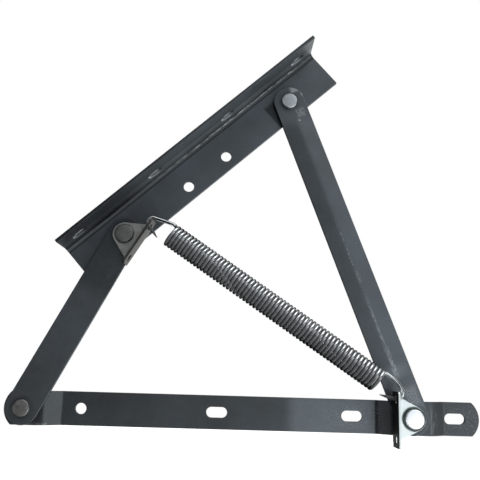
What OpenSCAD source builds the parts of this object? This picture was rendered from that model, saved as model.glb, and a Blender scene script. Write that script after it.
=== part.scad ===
// Spring lid stay: a riveted four-bar lift stay for a heavy lid, held open by one tension spring.
// It is drawn standing open, seen from the front: X runs along the base bar, Z is up, -Y is the front.
// The origin is the centre of the round fixing hole, on the back face of the base bar.

/* [Strip] */
// Width of the base bar and of both arms
strip_w = 30; // [26:1:40]
// Thickness of the strip that bar, arms and lid angle are made of
strip_t = 3; // [2:0.5:4]

/* [Linkage] */
// Distance between the two pivots on the base bar
base_span = 350; // [335:5:360]
// Pivot to pivot length of the short arm
short_arm_l = 180; // [170:5:190]
// Pivot to pivot length of the long arm
long_arm_l = 320; // [310:5:335]
// Distance between the two pivots on the lid angle
lid_span = 206; // [195:1:220]
// Angle of the short arm above the base bar when the stay stands open
open_angle = 63; // [58:1:70]

/* [Base bar] */
// From the short arm's pivot to the round fixing hole
first_hole_x = 50; // [42:1:60]
// Spacing of the fixing slots from the round hole on
slot_pitch = 123.5; // [100:0.5:126]
// From the long arm's pivot to the fixing slot in the tail
tail_slot_x = 41.5; // [41:0.5:60]
// Flat metal left past the tail slot's centre
tail_l = 22.5; // [20:0.5:40]
// From the short arm's pivot to the bar's other end
short_end_l = 17; // [16:0.5:24]
// Radius that both ends of the bar are cut to
bar_end_r = 20; // [16:1:60]
// How far the bar steps forward at its pivots, so that the rivet tails clear the wall
joggle_h = 8; // [5.5:0.5:12]
// Length of each sloping step
joggle_run = 13; // [8:1:16]
// Raised flat past the short arm's pivot
first_flat = 19; // [16:1:22]
// Raised flat on each side of the long arm's pivot
hump_flat = 18; // [15:1:18]
// Radius on the middle line of the bends in the bar
joggle_r = 6; // [2:1:8]

/* [Fixing holes] */
// Diameter of the round fixing holes
hole_d = 10; // [6:0.5:12]
// Width of the fixing slots
slot_w = 9.5; // [6:0.5:12]
// Length of the base bar's slots from end to end
base_slot_l = 19; // [14:1:24]
// Length of the lid flange's slots from end to end
lid_slot_l = 16; // [13:1:30]

/* [Lid angle] */
// Web below the line of pivots
web_below = 14.5; // [13:0.5:20]
// Web above the line of pivots, up to the flange's top face
web_above = 28; // [26:0.5:40]
// Width of the flange, from the web's back face
flange_w = 38; // [30:1:50]
// Metal past each pivot
lid_margin = 51; // [20:1:80]
// Radius on the middle line of the bend between web and flange
lid_bend_r = 6.5; // [2:0.5:7.5]
// From the short arm's pivot to the first hole in the web
web_hole_x = 76; // [45:1:90]
// Spacing of the two web holes
web_hole_pitch = 47; // [20:1:60]
// Web holes below the line of pivots
web_hole_drop = 2; // [0:0.5:5]
// Spacing of the four flange slots
lid_slot_pitch = 89.5; // [60:0.5:95]
// From the web's back face to the middle of the flange slots
lid_slot_y = 16; // [14:0.5:24]

/* [Long arm fold] */
// Rise of the ridge that is pressed along the long arm
fold_rise = 2; // [0.5:0.25:2.5]
// Flat end past the lid pivot before the fold starts
fold_top_flat = 14; // [12:1:40]
// Flat end past the base pivot before the fold starts
fold_base_flat = 36; // [34:1:60]
// Length over which the flat runs out into the fold
fold_runout = 16; // [8:1:40]

/* [Rivets] */
// Diameter of the rivet shanks
rivet_d = 8; // [6:0.5:9]
// Head diameter of the plain pivots
plain_head_d = 15; // [13:0.5:20]
// Head diameter of the two rivets that carry the spring plates
plate_head_d = 17; // [13:0.5:20]
// Height of the rivet heads
head_h = 3; // [2:0.25:4]
// Diameter of the tails that are closed behind the bar and the lid angle
tail_d = 13.5; // [12:0.5:16]
// Height of the closed tails
tail_h = 3.5; // [2:0.25:4.5]
// Diameter of the washers between the moving plates
washer_d = 19; // [16:0.5:24]
// Diameter of the washer under the head of the lower spring plate's rivet
head_washer_d = 20.5; // [18:0.5:22]
// Thickness of the washers
washer_t = 1; // [0.5:0.25:1.5]

/* [Spring plates] */
// Thickness of the spring plates
plate_t = 2.5; // [2:0.25:3]
// Radius of the nose round the rivet
nose_r = 11; // [11:0.5:14]
// From the rivet to the outside of the bent up tab
tab_x = 19.5; // [17:0.5:24]
// Width of the plate where it meets the bend
plate_w = 40; // [32:1:42]
// Width of the tab over its two ears
tab_w = 48; // [46:1:56]
// Inside radius of the bend
tab_bend_r = 1.5; // [1:0.25:2.5]
// Corner radius of the ears
ear_r = 3; // [1:0.5:5]
// Metal of the tab in front of the spring's middle
tab_front = 8.5; // [7:0.5:14]
// Diameter of the two hook holes
hook_hole_d = 6.5; // [6.5:0.5:8]
// Hook hole's centre from the end of the ear
hook_hole_inset = 7; // [6:0.5:8]

/* [Spring] */
// Wire diameter
wire_d = 3.5; // [2.5:0.25:3.75]
// Outside diameter of the coil
coil_od = 22.5; // [20:0.5:24]
// Least gap between neighbouring turns
coil_gap = 0.15; // [0.1:0.05:1]
// Distance from the coil's end to the ear that the hook goes round
hook_reach = 20.5; // [18:0.5:24]
// Radius of the hook's bend on the wire's middle line
hook_r = 5.4; // [5:0.2:5.8]
// Height of the bend's centre above the spring's line
hook_lift = 0.7; // [0.3:0.1:1.1]
// Straight tip past the bend, back through the hook hole
hook_tip = 14.5; // [6:0.5:20]
// The centre of the hook's bend is this far short of the tab's middle
hook_back = 0.4; // [0.2:0.1:0.8]

/* [Fit] */
// Radial clearance of a rivet in a hole
rivet_fit = 0.05; // [0.02:0.01:0.1]
// Gap between plates that turn on each other
play = 0.05; // [0.02:0.01:0.2]
// Clearance between the spring and the ridge of the long arm
spring_clear = 1; // [0.5:0.25:3]

/* [Hidden] */
$fn = 64;

painted = "#3c4144";
worn_steel = "#939a9c";
dull_zinc = "#686866";
bright_zinc = "#e0e8e9";
spring_steel = "#4a4d50";

// More than any thickness that is cut through
through = 30;
// Points that a bend is drawn with
bend_steps = 6;
// Largest rolled edge of a rivet's head, the rise of its crown, and the steps of that edge
head_edge = 0.9;
head_crown = 0.25;
edge_steps = 3;

// The pivots, as points in the plane of the linkage
function turn(v, a) = [v.x * cos(a) - v.y * sin(a), v.x * sin(a) + v.y * cos(a)];
function heading(v) = atan2(v.y, v.x);
base_short = [-first_hole_x, 0];
base_long = base_short + [base_span, 0];
lid_short = base_short + turn([short_arm_l, 0], open_angle);
diagonal = norm(base_long - lid_short);
lid_angle_at = heading(base_long - lid_short)
    + acos((lid_span ^ 2 + diagonal ^ 2 - long_arm_l ^ 2) / (2 * lid_span * diagonal));
lid_long = lid_short + turn([lid_span, 0], lid_angle_at);
long_arm_at = heading(lid_long - base_long);

// Distances forward of the wall, from the bar's back face
raised_back = joggle_h;
raised_front = raised_back + strip_t;
washer_back = raised_front + play;
arm_back = washer_back + washer_t + play;
arm_front = arm_back + strip_t;
plate_back = arm_front + play;
plate_front = plate_back + plate_t;
head_washer_back = plate_front + play;
head_washer_front = head_washer_back + washer_t;
spring_at = arm_front + fold_rise + spring_clear + coil_od / 2;
tab_top = spring_at + tab_front;

// The spring's line, from the lower plate's ear to the upper plate's ear. The inside of a hook's
// bend passes a little to the ear's side of the hook hole's middle, so that the hook hangs on it.
hook_seat = 0.25;
upper_plate_at = heading(base_long - lid_short);
lower_plate_at = 180;
ear_x = tab_x - plate_t / 2;
hook_hole_y = tab_w / 2 - hook_hole_inset;
grip_y = hook_hole_y + hook_r - hook_lift + hook_seat;
upper_grip = lid_short + turn([ear_x, grip_y], upper_plate_at);
lower_grip = base_long + turn([ear_x, -grip_y], lower_plate_at);
spring_l = norm(upper_grip - lower_grip);
spring_heading = heading(upper_grip - lower_grip);
coil_l = spring_l - 2 * hook_reach;
coil_r = (coil_od - wire_d) / 2;
coil_turns = floor(coil_l / (wire_d + coil_gap));
coil_pitch = coil_l / coil_turns;

// Puts flat shapes, drawn with x to the right and y up, in a layer that faces the front
module layer(from, thick) {
    translate([0, -from, 0]) rotate([90, 0, 0]) linear_extrude(height = thick) children();
}

// Turns what is drawn along X about a pivot
module at_pivot(p, a) {
    translate([p.x, 0, p.y]) rotate([0, -a, 0]) children();
}

// Extrudes a section along X, drawn with x up and y towards the front
module along_x(from, to) {
    translate([from, 0, 0]) rotate([0, 90, 0]) rotate([0, 0, 180])
        linear_extrude(height = to - from) children();
}

// A round hole through everything, along the front to back direction
module drill(p, d) {
    translate([p.x, through, p.y]) rotate([90, 0, 0]) cylinder(d = d, h = 3 * through);
}

// A slot with round ends, cut along Z of its own frame and running along X
module slot_tool(l, w) {
    for (side = [-1, 1])
        translate([side * (l - w) / 2, 0, -through]) cylinder(d = w, h = 2 * through);
    translate([-(l - w) / 2, -w / 2, -through]) cube([l - w, w, 2 * through]);
}

function unit(v) = v / norm(v);

// A path with its corners swept round
function soften(p, r) = [
    for (i = [0:len(p) - 1])
        if (i == 0 || i == len(p) - 1) p[i]
        else let (
            a = unit(p[i] - p[i - 1]), b = unit(p[i + 1] - p[i]),
            bend = acos(min(1, a * b)), side = sign(cross(a, b)),
            out = side * r * [a.y, -a.x],
            middle = p[i] - a * r * tan(bend / 2) - out)
            each [for (k = [0:bend_steps]) middle + turn(out, side * bend * k / bend_steps)]
];

// The outline of a strip of metal that follows a path on its middle line
function strip_side(p, t, side) = [
    for (i = [0:len(p) - 1]) let (
        a = unit(p[min(i + 1, len(p) - 1)] - p[min(i, len(p) - 2)]),
        b = unit(p[max(i, 1)] - p[max(i - 1, 0)]),
        na = [-a.y, a.x], nb = [-b.y, b.x])
        p[i] + side * t / 2 * (na + nb) / (1 + na * nb)
];
function strip_outline(p, t) =
    let (far = strip_side(p, t, 1), near = strip_side(p, t, -1))
    concat(far, [for (i = [len(near) - 1:-1:0]) near[i]]);

// The outline of a rivet's head or tail, from its seat round its rolled edge to its crown
function rolled_edge(r, from, to) = let (
    e = min(head_edge, abs(to - from) / 3), s = sign(to - from)) [
    [r, from],
    for (k = [0:edge_steps]) let (a = 90 * k / edge_steps)
        [r - e + e * cos(a), to - s * e + s * e * sin(a)],
    [0, to + s * head_crown]
];

// A revolved piece on a pivot
module revolved(p, outline) {
    translate([p.x, 0, p.y]) rotate([90, 0, 0]) rotate_extrude() polygon(outline);
}

// A rivet from its closed tail behind one plate to its head in front of another
module rivet(p, tail_at, head_at, head_d) {
    tail = rolled_edge(tail_d / 2, tail_at, tail_at - tail_h);
    head = rolled_edge(head_d / 2, head_at, head_at + head_h);
    revolved(p, concat(
        [for (i = [len(tail) - 1:-1:0]) tail[i]],
        [[rivet_d / 2, tail_at], [rivet_d / 2, head_at]],
        head));
}

// A flat washer on a rivet
module washer(p, from, d) {
    difference() {
        translate([p.x, -from, p.y]) rotate([90, 0, 0]) cylinder(d = d, h = washer_t);
        drill(p, rivet_d + 2 * rivet_fit);
    }
}

// The flat shape of an arm: a strip with two round ends, along x from its first pivot
module arm_shape(l) {
    circle(d = strip_w);
    translate([0, -strip_w / 2]) square([l, strip_w]);
    translate([l, 0]) circle(d = strip_w);
}

// The bar seen from the front, before it is stepped: both ends are cut to the same arc
module bar_shape() {
    from = base_short.x - short_end_l;
    to = base_long.x + tail_slot_x + tail_l;
    intersection() {
        translate([from, -strip_w / 2]) square([to - from, strip_w]);
        hull() for (x = [from + bar_end_r, to - bar_end_r]) translate([x, 0]) circle(r = bar_end_r);
    }
}

// The bar seen from above: flat on the wall, and stepped forward at its two pivots
module bar_steps() {
    low = strip_t / 2;
    high = raised_back + strip_t / 2;
    first_step = base_short.x + first_flat;
    hump_start = base_long.x - hump_flat;
    hump_end = base_long.x + hump_flat;
    path = [
        [base_short.x - strip_w, high],
        [first_step, high], [first_step + joggle_run, low],
        [hump_start - joggle_run, low], [hump_start, high],
        [hump_end, high], [hump_end + joggle_run, low],
        [base_long.x + tail_slot_x + tail_l + strip_w, low]
    ];
    polygon(strip_outline(soften(path, joggle_r), strip_t));
}

module base_bar() {
    color(painted) difference() {
        intersection() {
            rotate([180, 0, 0]) linear_extrude(height = 2 * strip_w, center = true) bar_steps();
            layer(-strip_t, raised_front + 2 * strip_t) bar_shape();
        }
        drill([0, 0], hole_d);
        for (x = [slot_pitch, 2 * slot_pitch, base_long.x + tail_slot_x])
            translate([x, 0, 0]) rotate([90, 0, 0]) slot_tool(base_slot_l, slot_w);
        drill(base_short, rivet_d + 2 * rivet_fit);
        drill(base_long, rivet_d + 2 * rivet_fit);
    }
}

module short_arm() {
    color(painted) at_pivot(base_short, open_angle) difference() {
        layer(arm_back, strip_t) arm_shape(short_arm_l);
        drill([0, 0], rivet_d + 2 * rivet_fit);
        drill([short_arm_l, 0], rivet_d + 2 * rivet_fit);
    }
}

// The long arm's strip between its flat ends. A section is six points round the strip, and its
// middle is pressed forward into a shallow roof that runs out flat at both ends.
module folded_strip(stations) {
    half = strip_w / 2;
    n = len(stations);
    points = [
        for (st = stations) let (x = st[0], rise = st[1])
            each [
                [x, -arm_back, -half], [x, -arm_back - rise, 0], [x, -arm_back, half],
                [x, -arm_front, half], [x, -arm_front - rise, 0], [x, -arm_front, -half]
            ]
    ];
    ends = [for (i = [0, 6 * (n - 1)]) [for (f = [[0, 1, 4, 5], [1, 2, 3, 4]]) [for (v = f) v + i]]];
    polyhedron(points, [
        each ends[0],
        for (i = [0:n - 2]) for (j = [0:5])
            let (a = 6 * i + j, b = 6 * i + (j + 1) % 6)
                each [[a, a + 6, b + 6], [a, b + 6, b]],
        each [for (f = ends[1]) [f[3], f[2], f[1], f[0]]]
    ]);
}

module long_arm() {
    color(painted) at_pivot(base_long, long_arm_at) difference() {
        union() {
            layer(arm_back, strip_t) {
                circle(d = strip_w);
                translate([0, -strip_w / 2]) square([fold_base_flat, strip_w]);
                translate([long_arm_l - fold_top_flat, -strip_w / 2]) square([fold_top_flat, strip_w]);
                translate([long_arm_l, 0]) circle(d = strip_w);
            }
            folded_strip([
                [fold_base_flat, 0], [fold_base_flat + fold_runout, fold_rise],
                [long_arm_l - fold_top_flat - fold_runout, fold_rise], [long_arm_l - fold_top_flat, 0]
            ]);
        }
        drill([0, 0], rivet_d + 2 * rivet_fit);
        drill([long_arm_l, 0], rivet_d + 2 * rivet_fit);
    }
}

// The lid angle: a folded strip whose flange is screwed to the lid
module lid_angle() {
    flange_mid = web_above - strip_t / 2;
    path = [
        [-web_below, raised_back + strip_t / 2],
        [flange_mid, raised_back + strip_t / 2],
        [flange_mid, raised_back + flange_w]
    ];
    color(painted) at_pivot(lid_short, lid_angle_at) difference() {
        along_x(-lid_margin, lid_span + lid_margin)
            polygon(strip_outline(soften(path, lid_bend_r), strip_t));
        drill([0, 0], rivet_d + 2 * rivet_fit);
        drill([lid_span, 0], rivet_d + 2 * rivet_fit);
        for (i = [0, 1]) drill([web_hole_x + i * web_hole_pitch, -web_hole_drop], hole_d);
        for (i = [-1.5:1:1.5])
            translate([lid_span / 2 + i * lid_slot_pitch, -raised_back - lid_slot_y, flange_mid])
                slot_tool(lid_slot_l, slot_w);
    }
}

module base_short_rivet() {
    color(worn_steel) rivet(base_short, raised_back, arm_front + play, plain_head_d);
}

module base_long_rivet() {
    color(bright_zinc) rivet(base_long, raised_back, head_washer_front, plate_head_d);
}

module lid_short_rivet() {
    color(dull_zinc) rivet(lid_short, raised_back, plate_front + play, plate_head_d);
}

// The long arm's lid pivot, head side: it ends flush with the back of the arm's washer
module lid_long_rivet() {
    head = rolled_edge(plain_head_d / 2, arm_front + play, arm_front + play + head_h);
    color(worn_steel) revolved(lid_long, concat(
        [[0, washer_back], [rivet_d / 2, washer_back], [rivet_d / 2, arm_front + play]],
        head));
}

// The long arm's lid pivot, tail side: it ends flush with the front of the web
module lid_long_rivet_tail() {
    tail = rolled_edge(tail_d / 2, raised_back, raised_back - tail_h);
    color(worn_steel) revolved(lid_long, concat(
        [for (i = [len(tail) - 1:-1:0]) tail[i]],
        [[rivet_d / 2, raised_back], [rivet_d / 2, raised_front], [0, raised_front]]));
}

module base_short_washer() {
    color(worn_steel) washer(base_short, washer_back, washer_d);
}

module base_long_washer() {
    color(worn_steel) washer(base_long, washer_back, washer_d);
}

module lid_short_washer() {
    color(worn_steel) washer(lid_short, washer_back, washer_d);
}

module lid_long_washer() {
    color(worn_steel) washer(lid_long, washer_back, washer_d);
}

module head_washer() {
    color(painted) washer(base_long, head_washer_back, head_washer_d);
}

// A spring plate on its rivet, pointing along X: a nosed plate with a tab bent up to the front.
// Both ears of the tab have a hook hole, so that one plate suits left and right hand stays.
module spring_plate() {
    outer_r = tab_bend_r + plate_t;
    bend_x = tab_x - outer_r;
    corner = [bend_x, plate_w / 2];
    tangent_at = heading(corner) + acos(nose_r / norm(corner));
    tangent = turn([nose_r, 0], tangent_at);
    difference() {
        union() {
            layer(plate_back, plate_t) {
                circle(r = nose_r);
                polygon([
                    [0, 0], [tangent.x, -tangent.y], [corner.x, -corner.y], corner, tangent
                ]);
            }
            intersection() {
                translate([bend_x, -plate_back - outer_r, -plate_w / 2]) difference() {
                    cylinder(r = outer_r, h = plate_w);
                    translate([0, 0, -1]) cylinder(r = tab_bend_r, h = plate_w + 2);
                }
                translate([bend_x, -plate_back - outer_r, -plate_w / 2])
                    cube([outer_r, outer_r, plate_w]);
            }
            translate([tab_x - plate_t, 0, 0]) rotate([0, 90, 0]) rotate([0, 0, 180])
                linear_extrude(height = plate_t) tab_shape(plate_back + outer_r);
        }
        drill([0, 0], rivet_d + 2 * rivet_fit);
        for (side = [-1, 1])
            translate([tab_x - 2 * plate_t, -spring_at, side * hook_hole_y]) rotate([0, 90, 0])
                cylinder(d = hook_hole_d, h = 3 * plate_t);
    }
}

// The tab's outline, drawn with x across and y to the front: square shoulders and rounded ears
module tab_shape(from) {
    half = tab_w / 2;
    translate([-half, from]) square([tab_w, tab_top - ear_r - from]);
    translate([-half + ear_r, from]) square([tab_w - 2 * ear_r, tab_top - from]);
    for (side = [-1, 1]) translate([side * (half - ear_r), tab_top - ear_r]) circle(r = ear_r);
}

module upper_spring_plate() {
    color(dull_zinc) at_pivot(lid_short, upper_plate_at) spring_plate();
}

module lower_spring_plate() {
    color(bright_zinc) at_pivot(base_long, lower_plate_at) spring_plate();
}

// The spring's wire. Its own frame has s along the coil from the lower end, r across it to the
// upper right, and f to the front. A station is a point of the wire, its direction and a normal.
turn_steps = 10;
wire_sides = 6;
lead_steps = 4;
hook_steps = 10;
lead_r = 3.5;
lead_a = asin(lead_r / coil_r);
coil_end_a = 360 * coil_turns - lead_a;
along = turn([1, 0], spring_heading);
across = turn([1, 0], spring_heading - 90);
coil_start = lower_grip + along * hook_reach;
function in_place(v) = let (p = along * v[0] + across * v[1]) [p.x, -v[2], p.y];
function on_coil(v) = [coil_start.x, -spring_at, coil_start.y] + in_place(v);

function coil_station(a) = [
    [coil_pitch * a / 360, coil_r * cos(a), coil_r * sin(a)],
    unit([coil_pitch / (2 * PI * coil_r), -sin(a), cos(a)]),
    [0, cos(a), sin(a)]
];

// Where the wire leaves the coil it turns from going round to going along: end is -1 or 1
function lead_station(t, end, from) = let (
    f = -end * lead_r * (1 - sin(t)), r = sqrt(coil_r ^ 2 - f ^ 2)) [
    [from + end * lead_r * (1 - cos(t)), r, f],
    [end * sin(t), 0, end * cos(t)],
    [0, r / coil_r, f / coil_r]
];

// The hook: a straight leg that leans in, a bend round the ear and a straight tip through its hole
hook_mid = [hook_reach - hook_back, hook_lift];
leg = [hook_mid.x - lead_r, coil_r - hook_mid.y];
hook_lean = heading(leg) - asin(hook_r / norm(leg));
hook_turn = 160;
function hook_station(a, end, from) = [
    [from + end * (hook_mid.x + hook_r * sin(a)), hook_mid.y + hook_r * cos(a), 0],
    [end * cos(a), -sin(a), 0],
    [end * sin(a), cos(a), 0]
];
function hook_end(end, from) = let (last = hook_station(hook_turn, end, from))
    [last[0] + hook_tip * last[1], last[1], last[2]];
function hook(end, from) = concat(
    [for (i = [1:lead_steps]) lead_station(90 * i / lead_steps, end, from)],
    [for (i = [0:hook_steps])
        hook_station(hook_lean + (hook_turn - hook_lean) * i / hook_steps, end, from)],
    [hook_end(end, from)]
);

// Sweeps a wire along its stations
module wire(stations) {
    n = len(stations);
    k = wire_sides;
    points = [
        for (st = stations) let (side = cross(st[1], st[2]))
            for (j = [0:k - 1]) let (a = 360 * j / k)
                on_coil(st[0] + wire_d / 2 * (cos(a) * st[2] + sin(a) * side))
    ];
    faces = [
        [for (j = [0:k - 1]) j],
        for (i = [0:n - 2]) for (j = [0:k - 1])
            let (a = i * k + j, b = i * k + (j + 1) % k)
                each [[a, a + k, b + k], [a, b + k, b]],
        [for (j = [k - 1:-1:0]) (n - 1) * k + j]
    ];
    polyhedron(points, faces);
}

// The coil with the lower hook
module spring_coil() {
    lower = hook(-1, coil_pitch * lead_a / 360);
    step = (coil_end_a - lead_a) / (turn_steps * coil_turns);
    color(spring_steel) wire(concat(
        [for (i = [len(lower) - 1:-1:0]) [lower[i][0], -lower[i][1], lower[i][2]]],
        [for (i = [0:turn_steps * coil_turns]) coil_station(lead_a + i * step)]
    ));
}

// The upper hook, from where the wire leaves the coil
module spring_top_hook() {
    color(spring_steel) wire(concat(
        [coil_station(coil_end_a)], hook(1, coil_l - coil_pitch * lead_a / 360)
    ));
}

base_bar();
short_arm();
long_arm();
lid_angle();
base_short_rivet();
base_long_rivet();
lid_short_rivet();
lid_long_rivet();
lid_long_rivet_tail();
base_short_washer();
base_long_washer();
lid_short_washer();
lid_long_washer();
head_washer();
upper_spring_plate();
lower_spring_plate();
spring_coil();
spring_top_hook();
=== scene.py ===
"""Looks of the spring lid stay: sheet steel cut flat and folded, riveted joints and a close-wound spring.

Each piece is made on its own bench frame, in millimetres: x along the piece, y across it and z towards
the front. It is then seated at its pivot in the stay's frame, where X runs along the base bar, Z is up
and -Y is the front.
"""
import math
import random

import bmesh
import bpy
from mathutils import Matrix, Vector
from mathutils.geometry import tessellate_polygon
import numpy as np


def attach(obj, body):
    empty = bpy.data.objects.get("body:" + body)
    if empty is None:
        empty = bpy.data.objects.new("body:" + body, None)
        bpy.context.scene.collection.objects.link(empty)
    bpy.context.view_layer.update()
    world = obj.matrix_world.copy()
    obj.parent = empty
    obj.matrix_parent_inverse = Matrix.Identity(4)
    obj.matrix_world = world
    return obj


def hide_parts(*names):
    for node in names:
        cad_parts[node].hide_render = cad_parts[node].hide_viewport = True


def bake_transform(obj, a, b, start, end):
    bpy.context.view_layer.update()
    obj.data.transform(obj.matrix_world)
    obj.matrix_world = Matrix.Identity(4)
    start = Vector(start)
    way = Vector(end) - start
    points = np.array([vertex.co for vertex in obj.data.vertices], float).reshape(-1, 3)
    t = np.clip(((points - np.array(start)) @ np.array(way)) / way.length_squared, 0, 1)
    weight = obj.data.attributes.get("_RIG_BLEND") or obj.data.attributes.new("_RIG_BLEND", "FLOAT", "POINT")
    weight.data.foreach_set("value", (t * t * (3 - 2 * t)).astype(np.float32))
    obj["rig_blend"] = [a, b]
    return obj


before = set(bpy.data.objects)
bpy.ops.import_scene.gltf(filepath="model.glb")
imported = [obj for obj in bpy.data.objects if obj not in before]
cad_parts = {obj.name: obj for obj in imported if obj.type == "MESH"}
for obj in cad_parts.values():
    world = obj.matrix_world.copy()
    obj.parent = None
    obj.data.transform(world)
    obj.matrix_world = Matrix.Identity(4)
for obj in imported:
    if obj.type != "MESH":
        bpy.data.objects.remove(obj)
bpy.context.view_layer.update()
bpy.context.scene.view_settings.view_transform = "Standard"

MM = 0.001

# Sizes of the stay, in millimetres
strip_w = 30
strip_t = 3
base_span = 350
short_arm_l = 180
long_arm_l = 320
lid_span = 206
open_angle = 63
first_hole_x = 50
slot_pitch = 123.5
tail_slot_x = 41.5
tail_l = 22.5
short_end_l = 17
bar_end_r = 20
joggle_h = 8
joggle_run = 13
first_flat = 19
hump_flat = 18
joggle_r = 6
hole_d = 10
slot_w = 9.5
base_slot_l = 19
lid_slot_l = 16
web_below = 14.5
web_above = 28
flange_w = 38
lid_margin = 51
lid_bend_r = 6.5
web_hole_x = 76
web_hole_pitch = 47
web_hole_drop = 2
lid_slot_pitch = 89.5
lid_slot_y = 16
fold_rise = 2
fold_top_flat = 14
fold_base_flat = 36
fold_runout = 16
rivet_d = 8
plain_head_d = 15
plate_head_d = 17
head_h = 3
tail_d = 13.5
tail_h = 3.5
washer_d = 19
head_washer_d = 20.5
washer_t = 1
plate_t = 2.5
nose_r = 11
tab_x = 19.5
plate_w = 40
tab_w = 48
tab_bend_r = 1.5
ear_r = 3
tab_front = 8.5
hook_hole_d = 6.5
hook_hole_inset = 7
wire_d = 3.5
coil_od = 22.5
coil_turns = 62
hook_reach = 20.5
hook_r = 5.4
hook_lift = 0.7
hook_tip = 14.5
hook_back = 0.4
hook_seat = 0.25
hook_turn = 160
lead_r = 3.5
upper_hook_r = 4.6
upper_hook_lift = -0.1
lower_leg_bow = 22
play = 0.05
spring_clear = 1

# Layers, as distances forward of the bar's back face
raised_front = joggle_h + strip_t
washer_back = raised_front + play
arm_back = washer_back + washer_t + play
arm_front = arm_back + strip_t
plate_back = arm_front + play
plate_front = plate_back + plate_t
head_washer_back = plate_front + play
head_washer_front = head_washer_back + washer_t
spring_at = arm_front + fold_rise + spring_clear + coil_od / 2
tab_top = spring_at + tab_front


def point(length, angle):
    """A point of the linkage's plane, from its distance and its angle in degrees."""
    return Vector((length * math.cos(math.radians(angle)), length * math.sin(math.radians(angle))))


def heading(v):
    """The direction of a vector of the linkage's plane, in degrees."""
    return math.degrees(math.atan2(v.y, v.x))


# The pivots, in the plane of the linkage
base_short = Vector((-first_hole_x, 0))
base_long = base_short + Vector((base_span, 0))
lid_short = base_short + point(short_arm_l, open_angle)
diagonal = (base_long - lid_short).length
lid_angle_at = heading(base_long - lid_short) + math.degrees(
    math.acos((lid_span**2 + diagonal**2 - long_arm_l**2) / (2 * lid_span * diagonal)))
lid_long = lid_short + point(lid_span, lid_angle_at)
long_arm_at = heading(lid_long - base_long)
upper_plate_at = heading(base_long - lid_short)
lower_plate_at = 180

# The spring's line, from the lower plate's ear to the upper plate's ear
ear_x = tab_x - plate_t / 2
hook_hole_y = tab_w / 2 - hook_hole_inset
grip_y = hook_hole_y + hook_r - hook_lift + hook_seat
upper_grip = lid_short + Matrix.Rotation(math.radians(upper_plate_at), 2) @ Vector((ear_x, grip_y))
lower_grip = base_long + Matrix.Rotation(math.radians(lower_plate_at), 2) @ Vector((ear_x, -grip_y))
spring_line = upper_grip - lower_grip
coil_l = spring_line.length - 2 * hook_reach
coil_r = (coil_od - wire_d) / 2
coil_pitch = coil_l / coil_turns


# Materials. Sizes in them are real ones in millimetres, on the piece's own bench frame.

# Dark of the painted shade, with grease in it, that rings the rivet heads
shade_and_grease_black = "#1d1e1d"
# Black of the painted shade on the spring's wire
painted_shade_black = "#151616"
bare_steel = "#b4b9ba"


def linear(hex_colour):
    """An sRGB hex colour as linear RGBA."""
    parts = [int(hex_colour[i:i + 2], 16) / 255 for i in (1, 3, 5)]
    return (*[p / 12.92 if p <= 0.04045 else ((p + 0.055) / 1.055) ** 2.4 for p in parts], 1)


def feed(tree, source, socket):
    """Links a socket to another one, or to the first output of a node."""
    if isinstance(source, bpy.types.Node):
        source = next(output for output in source.outputs if output.enabled)
    tree.links.new(source, socket)


def add(tree, kind, inputs=(), **settings):
    """Adds a node. Settings are its own properties, and inputs are values, or the nodes or sockets that
    feed them."""
    made = tree.nodes.new(kind)
    for name, value in settings.items():
        setattr(made, name, value)
    for name, value in dict(inputs).items():
        if isinstance(value, (bpy.types.Node, bpy.types.NodeSocket)):
            feed(tree, value, made.inputs[name])
        else:
            made.inputs[name].default_value = value
    return made


def bench(tree, seat):
    """A point's place on the piece's own bench frame, in millimetres."""
    pivot, angle = seat
    place = add(tree, "ShaderNodeTexCoord").outputs["Object"]
    return add(tree, "ShaderNodeMapping", {
        "Vector": place, "Location": (pivot.x * MM, 0, pivot.y * MM),
        "Rotation": (math.radians(90), -math.radians(angle), 0), "Scale": (MM, MM, MM),
    }, vector_type="TEXTURE")


def remap(tree, value, low, high, to_low=0, to_high=1, smooth=False):
    """A value moved from one range to another, and kept within it."""
    return add(tree, "ShaderNodeMapRange", {
        "Value": value, "From Min": low, "From Max": high, "To Min": to_low, "To Max": to_high},
        interpolation_type="SMOOTHSTEP" if smooth else "LINEAR")


def noise(tree, place, size, detail=2, roughness=0.5):
    """Cloudy noise with blotches of that size."""
    return add(tree, "ShaderNodeTexNoise", {
        "Vector": place, "Scale": 1 / size, "Detail": detail, "Roughness": roughness})


def maths(tree, operation, *values):
    """What an operation makes of numbers."""
    return add(tree, "ShaderNodeMath", enumerate(values), operation=operation)


def vector_maths(tree, operation, *values):
    """What an operation makes of places or colours."""
    return add(tree, "ShaderNodeVectorMath", enumerate(values), operation=operation)


def scaled(tree, colour, factor):
    """A colour times a number."""
    return add(tree, "ShaderNodeVectorMath", {0: colour, "Scale": factor}, operation="SCALE")


def mix_colours(tree, share, first, second):
    """The colour at that share of the way from the first to the second."""
    return add(tree, "ShaderNodeMix", {"Factor": share, "A": first, "B": second}, data_type="RGBA")


def bump(tree, height, strength, depth):
    """The normal of a surface that a height bumps, up to that depth."""
    return add(tree, "ShaderNodeBump", {"Height": height, "Strength": strength, "Distance": depth * MM})


def edge_mask(tree, radius, low, high):
    """The mask that rises from 0 on flats to 1 on worn corners of about that radius."""
    rounded = add(tree, "ShaderNodeBevel", {"Radius": radius * MM}, samples=6)
    plain = add(tree, "ShaderNodeNewGeometry").outputs["Normal"]
    alike = vector_maths(tree, "DOT_PRODUCT", rounded, plain)
    return remap(tree, alike, high, low)


def box_mask(tree, place, middle, half, core=0.35):
    """The mask of a box with soft sides: 1 in its core and 0 outside."""
    off = vector_maths(tree, "SUBTRACT", place, middle)
    away = vector_maths(tree, "ABSOLUTE", vector_maths(tree, "DIVIDE", off, half))
    split = add(tree, "ShaderNodeSeparateXYZ", {0: away})
    side = maths(tree, "MAXIMUM", split.outputs["X"], split.outputs["Y"])
    far = maths(tree, "MAXIMUM", side, split.outputs["Z"])
    return remap(tree, far, 1, core, smooth=True)


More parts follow.
